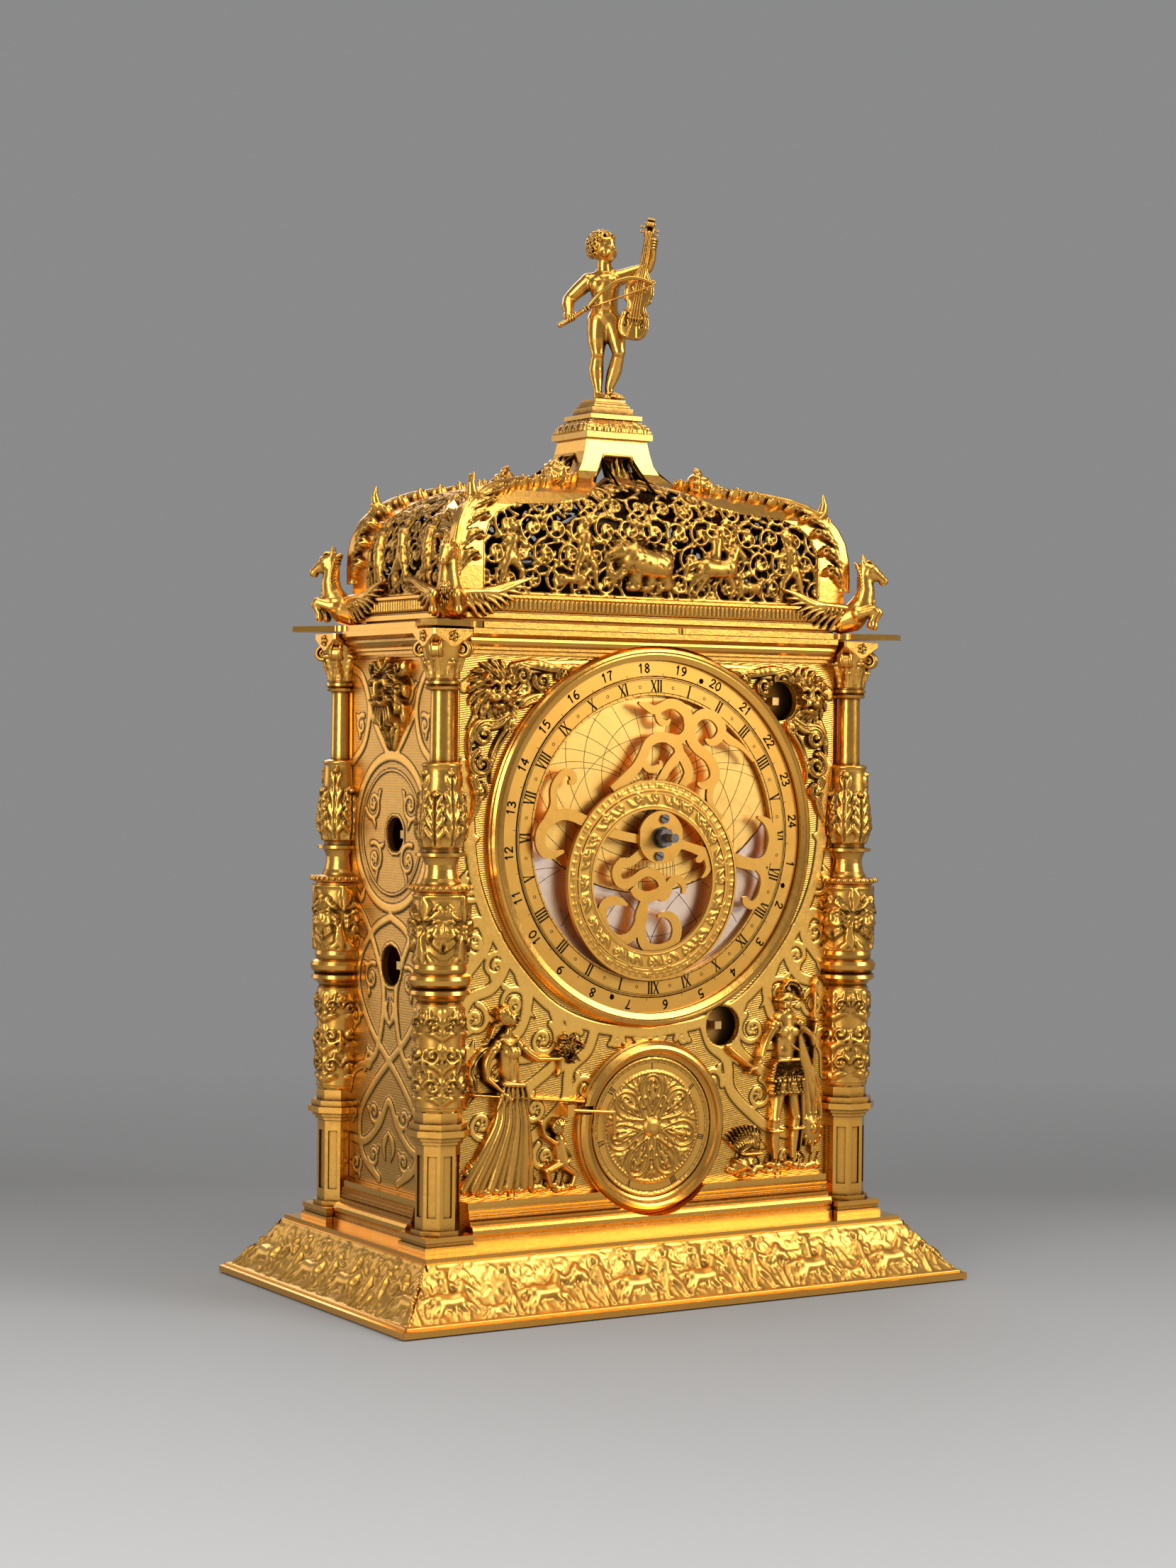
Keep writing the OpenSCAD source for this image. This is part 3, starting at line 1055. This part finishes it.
module warrior_relief() {
    ox = front_hw - 24.4;
    color(gold) difference() {
        translate([0, 0, cal_z - relief_drawn]) union() {
            ycyl([ox, 114], 5.2, -by - 5.2, -by);
            yext(-by - 4.2, -by) stroke([[ox, 111, 8], [ox - 1, 102, 14], [ox - 2, 92, 12],
                [ox - 2, 80, 15], [ox - 5, 64, 15], [ox - 9, 52, 13], [ox - 12, 44, 10]]);
            yext(-by - 4, -by) stroke([[ox + 2, 74, 10], [ox + 6, 60, 8], [ox + 8, 50, 6],
                [ox + 9, 44, 7]]);
            yext(-by - 3.4, -by) stroke([[ox + 4, 106, 5], [ox + 12, 104, 5], [ox + 15, 112, 4]]);
            yext(-by - 3.4, -by) stroke([[ox - 5, 104, 5], [ox - 13, 95, 5], [ox - 20, 90, 4]]);
            yext(-by - 2.8, -by) stroke([[ox - 17, 88, 2.4], [ox - 24, 92, 3.2], [ox - 31, 97, 3.4],
                [ox - 36, 99, 1]]);
            yext(-by - 2.4, -by) stroke([[ox + 3, 104, 6], [ox + 12, 92, 7], [ox + 13, 76, 7],
                [ox + 11, 60, 5]]);
            yext(-by - 2.2, -by) stroke([[ox - 18, 45, 5], [ox - 4, 43, 5], [ox + 12, 44, 6]]);
        }
        ycyl([0, cal_z], cal_r + 0.25, -70, 0);
        ycyl([0, dial_z], bez_r + 0.25, -70, 0);
        ycyl(hole_a, wind_d / 2 + 0.2, -70, 0);
        block(-120, 120, -70, 0, 0, case_z0 + plinth_h + 0.05);
        translate([col_dx, -col_dy, 0]) cylinder(h = 400, r = 12.9);
    }
}
module side_masks() {
    color(gold) for (s = [-1, 1]) scale([s, 1, 1]) translate([plate_x + seam, 0, 0]) difference() {
        union() {
            xext(0, 2.4) stroke([[-2, case_z1 - 12, 20], [-2, case_z1 - 20, 18],
                [-2, case_z1 - 30, 15], [-2, case_z1 - 40, 10], [-2, case_z1 - 49, 4]]);
            for (k = [-1, 1]) xcyl([-2 + k * 8.6, case_z1 - 15], 4.2, 0, 4.2);
            xcyl([-2, case_z1 - 22], 6.8, 0, 5.6);
            xcyl([-2, case_z1 - 34], 4.6, 0, 4.4);
        }
        block(-1, 20, -60, 60, case_z1 - cornice_h + 0.7, case_z1 + 20);
    }
}

// movement
mw = plate_x - plate_t - 7.4 - 2 * seam;
module movement_outline() {
    difference() {
        translate([-mw, case_z0 + 18.8]) square([2 * mw, case_h - 25]);
        for (x = [-74, 12]) translate([x, cal_z - 9.2]) square([62, 12]);
        translate([-74, dial_z + 29.2]) square([62, 34]);
        translate([12, dial_z + 29.2]) square([40, 34]);
        translate([-78, dial_z - 100.8]) square([44, 116]);
        translate([54, dial_z - 44.8]) square([24, 64]);
    }
}
module movement_front_plate() {
    color(deep) difference() {
        yext(-mf_y0, -mf_y0 + mf_t) movement_outline();
        ycyl([0, dial_z], arbor_d / 2 - 0.9 + play, -60, 0);
        ycyl(hole_a, wind_r + play, -60, 0);
        ycyl(hole_b, wind_r + play, -60, 0);
        ycyl(g2, 1 + play, -60, 0);
        ycyl(g3, 1 + play, -60, 0);
        ycyl([0, cal_z], 3.4, -60, 0);
    }
}
module movement_back_plate() {
    color(deep) difference() {
        yext(mb_y0, mb_y0 + mf_t) movement_outline();
        ycyl(hole_a, 1.4 + play, 0, 60);
        ycyl(hole_b, 1.4 + play, 0, 60);
        ycyl(g2, 1 + play, 0, 60);
    }
}
module dial_wheel() {
    rp = dial_teeth * motion_mod / 2;
    color(gold) difference() {
        translate([0, 0, dial_z]) yext(-wheel_y, -wheel_y + 2) difference() {
            wheel2d(dial_teeth, motion_mod, motion_ang);
            crossed(rp - 6, 12, 6, 6);
            circle(r = arbor_d / 2 + seam);
        }
    }
}
module winding_arbor_y(p, tip, back) {
    // square at the front, round through both plates
    ycyl(p, wind_r, -mf_y0 - 0.6, -4);
    ycyl(p, 1.4, -4.1, back);
    block(p[0] - square_s / 2, p[0] + square_s / 2, tip, -mf_y0, p[1] - square_s / 2,
        p[1] + square_s / 2);
}
module drum_y(p, r, y0, y1) {
    ycyl(p, r - 0.8, y0, y1);
    ycyl(p, r, y0, y0 + 1.6);
    ycyl(p, r, y1 - 1.6, y1);
}
wind_tip = -plate_y + plate_t + 0.6;
module going_barrel() {
    color(gold) union() {
        winding_arbor_y(hole_a, wind_tip, mb_y0 + mf_t + 0.4);
        translate([hole_a[0], 0, hole_a[1]]) yext(-mf_y0 + mf_t + 1, -mf_y0 + mf_t + 3.4)
            wheel2d(great_teeth, great_mod, ang2);
        drum_y(hole_a, 19, -mf_y0 + mf_t + 3.3, -7);
    }
}
module second_wheel() {
    color(gold) union() {
        ycyl(g2, 1, -wheel_y, mb_y0 + mf_t - 0.2);
        translate([g2[0], 0, g2[1]]) yext(-wheel_y, -wheel_y + 2)
            pinion2d(motion_teeth, motion_mod, motion_ang + 180 + 180 / motion_teeth);
        ycyl(g2, 1.5, -mf_y0 + mf_t + 0.4, mb_y0 - 0.4);
        translate([g2[0], 0, g2[1]]) {
            yext(-mf_y0 + mf_t + 0.6, -mf_y0 + mf_t + 3.8) pinion2d(pin2, great_mod,
                ang2 + 180 + 180 / pin2);
            yext(-4.4, -2.6) difference() {
                wheel2d(second_teeth, second_mod, ang3);
                crossed(second_teeth * second_mod / 2 - 3.4, 4.4, 3, 4);
            }
        }
    }
}
crown_y0 = 8;
crown_n = 15;
module crown_wheel() {
    color(gold) difference() {
        union() {
            ycyl(g3, 1, -mf_y0 + 0.2, crown_y0);
            ycyl(g3, 1.4, -mf_y0 + mf_t + 0.4, 3.6);
            ycyl(g3, 1.4, 6.4, crown_y0 + 0.1);
            translate([g3[0], 0, g3[1]]) yext(-5.2, -1.8) pinion2d(pin3, second_mod,
                ang3 + 180 + 180 / pin3);
            ycyl(g3, 12.6, crown_y0, crown_y0 + 1.6);
            yring(g3, 12.6, 11.2, crown_y0, crown_y0 + 7);
        }
        for (i = [0:crown_n - 1]) translate([g3[0], crown_y0 + 7, g3[1]]) rotate([0,
            i * 360 / crown_n, 0])
            translate([12, 0, 0]) rotate([0, 0, 0]) cube([4, 6, 3.4], center = true);
    }
}
balance_r = mb_y0 - 2 - verge_y - 0.6;
module verge_balance() {
    x = g3[0];
    color(steel) union() {
        translate([x, verge_y, verge_z0 + 1.2]) cylinder(h = verge_z1 - verge_z0 - 2.4, r = 1);
        translate([x, verge_y, verge_z0 - 1.4]) cylinder(h = verge_z1 - verge_z0 + 2.8, r = 0.7);
        for (s = [-1, 1]) translate([x, verge_y, g3[1] + s * 11.9]) rotate([0, 0, s * 42])
            translate([0, -1.3, 0]) cube([1, 2.6, 3], center = true);
        translate([x, verge_y, verge_z1 - 6]) difference() {
            cylinder(h = 1.6, r = balance_r);
            translate([0, 0, -1]) linear_extrude(4) crossed(balance_r - 2, 2.6, 2.4, 2);
        }
    }
}
module escapement_cocks() {
    x = g3[0];
    yb = mb_y0 - seam;
    color(deep) {
        difference() {
            union() {
                block(x - 4, x + 4, verge_y - 4, yb, verge_z0 - 2.4, verge_z0 + 0.6);
                block(x - 4, x + 4, verge_y - 4, yb, verge_z1 - 0.6, verge_z1 + 2.4);
                block(x - 4, x + 4, yb - 2, yb, verge_z0 - 2.4, verge_z1 + 2.4);
            }
            translate([x, verge_y, verge_z0 - 5]) cylinder(h = verge_z1 - verge_z0 + 10, r = 0.7 + play);
        }
        difference() {
            union() {
                block(x - 15, x + 15, 4, 6, g3[1] - 4, g3[1] + 24);
                for (s = [-1, 1]) ycyl([x + s * 11, g3[1] + 20], 2, -mf_y0 + mf_t + seam, 4.1);
            }
            ycyl(g3, 1 + play, 0, 10);
            ycyl([x, g3[1] + 14], 4, 0, 10);
        }
    }
}
module strike_barrel() {
    color(gold) union() {
        winding_arbor_y(hole_b, wind_tip, mb_y0 + mf_t + 0.4);
        translate([hole_b[0], 0, hole_b[1]]) yext(-mf_y0 + mf_t + 1, -mf_y0 + mf_t + 3.4) wheel2d(44,
            0.7, 0);
        drum_y(hole_b, 13.4, -mf_y0 + mf_t + 3.3, -7);
    }
}
sb_x0 = -plate_x + plate_t + 7.4 + 0.4;
sb_x1 = sb_x0 + 30;
module side_barrel(p, r, teeth) {
    tip = -plate_x + plate_t + 0.6;
    block(tip, sb_x0, p[0] - square_s / 2, p[0] + square_s / 2, p[1] - square_s / 2, p[1] + square_s / 2);
    xcyl(p, wind_r, sb_x0 - 0.8, sb_x1 + 2.4);
    xcyl(p, r - 0.8, sb_x0 + 5, sb_x1 - 1);
    xcyl(p, r, sb_x0 + 5, sb_x0 + 6.6);
    xcyl(p, r, sb_x1 - 2.6, sb_x1 - 1);
    // ratchet
    translate([0, p[0], p[1]]) xext(sb_x0 + 2.6, sb_x0 + 5.1) polygon([for (i = [0:teeth - 1], k = [0, 1])
        let (a = (i + k * 0.12) * 360 / teeth, q = k == 0 ? r - 4 : r - 2.4) [q * cos(a), q * sin(a)]]);
}
module quarter_barrel() { color(gold) side_barrel(side_a, 16, 24); }
module alarm_barrel() { color(gold) side_barrel(side_b, 13, 20); }
module side_bracket() {
    z0 = side_a[1] - 22;
    z1 = side_b[1] + 20;
    yb = mb_y0 - seam;
    color(deep) difference() {
        union() {
            block(sb_x0, sb_x0 + 2.2, -20, yb, z0, z1);
            block(sb_x1, sb_x1 + 2.2, -20, yb, z0, z1);
            block(sb_x0, sb_x1 + 2.2, yb - 2.4, yb, z0, z0 + 8);
            block(sb_x0, sb_x1 + 2.2, yb - 2.4, yb, z1 - 8, z1);
        }
        for (p = [side_a, side_b]) xcyl(p, wind_r + play, -120, 0);
    }
}
// bell and hammer
bell_z1 = roof_z0 + 0.62 * roof_h - 4;
bell_z0 = bell_z1 - bell_h;
module bell() {
    r = bell_d / 2;
    t = 1.8;
    color(gold) difference() {
        translate([0, 0, bell_z0]) rotate_extrude($fn = 96)
            polygon([[r, 0], [r - 1.4, 3], [r - 4, 9], [r - 7, 15], [r - 12, 20.6], [r - 19, 24.4],
                [r - 26, bell_h], [0, bell_h],
                     [0, bell_h - t], [r - 26.4, bell_h - t], [r - 19.6, 22.4], [r - 13.2, 19],
                         [r - 8.8, 14], [r - 6, 8.4], [r - 3.4, 2.4], [r - 2.6, 0]]);
        cylinder(h = 600, r = 1.6 + seam);
    }
}
module bell_stand() {
    color(steel) union() {
        translate([0, 0, top_z0 + 0.1]) cylinder(h = bell_z1 + 3 - top_z0, r = 1.6);
        translate([0, 0, top_z0 + 0.1]) cylinder(h = top_t + 0.1, r = 2);
        translate([0, 0, top_z1 + seam]) cylinder(h = bell_z1 - 1.8 - top_z1 - 2 * seam, r1 = 4.4,
            r2 = 2.6);
        translate([0, 0, bell_z1 + seam]) cylinder(h = 1.8, r = 3.4, $fn = 6);
        // fork and pin that carry the hammer
        translate([ham_x, 0, ham_z]) rotate([90, 0, 0]) cylinder(h = 11, r = 1, center = true);
        for (s = [-1, 1]) block(ham_x - 2.4, ham_x + 2.4, s * 4.6 - 1, s * 4.6 + 1, top_z1 + seam,
            ham_z + 2.4);
    }
}
ham_x = -bell_d / 2 - 13;
ham_z = top_z1 + 5;
ham_head = [-bell_d / 2 - 5.2, 0, bell_z0 + 3.2];
module hammer() {
    color(steel) difference() {
        union() {
            limb([ham_x, 0, ham_z], ham_head, 1.2, 1);
            translate(ham_head) rotate([0, 90, 0]) cylinder(h = 9, r = 3, center = true);
            translate([ham_x, 0, ham_z]) rotate([90, 0, 0]) cylinder(h = 5.4, r = 2.6, center = true);
        }
        translate([ham_x, 0, ham_z]) rotate([90, 0, 0]) cylinder(h = 20, r = 1 + play, center = true);
    }
}

base_plate();
foot_long();
foot_short();
plinth_mouldings();
cornice_mouldings();
column_front_left();
column_front_right();
column_back_left();
column_back_right();
front_plate();
back_plate();
left_plate();
right_plate();
corner_posts();
top_plate();
dome_frieze();
dome_frame();
roof_panel_front();
roof_panel_back();
roof_panel_left();
roof_panel_right();
corner_straps();
winged_horses();
neck_cap();
finial_pedestal();
putto();
viol();
bow();
dial_bezel();
hour_ring();
chapter_ring();
tympan();
rete();
hub_plate();
hub_screws();
centre_nut();
dial_arbor();
calendar_bezel();
calendar_disc();
calendar_boss();
calendar_pointer();
lion_mounts();
woman_relief();
warrior_relief();
side_masks();
movement_front_plate();
movement_back_plate();
dial_wheel();
going_barrel();
second_wheel();
crown_wheel();
verge_balance();
escapement_cocks();
strike_barrel();
quarter_barrel();
alarm_barrel();
side_bracket();
bell();
bell_stand();
hammer();
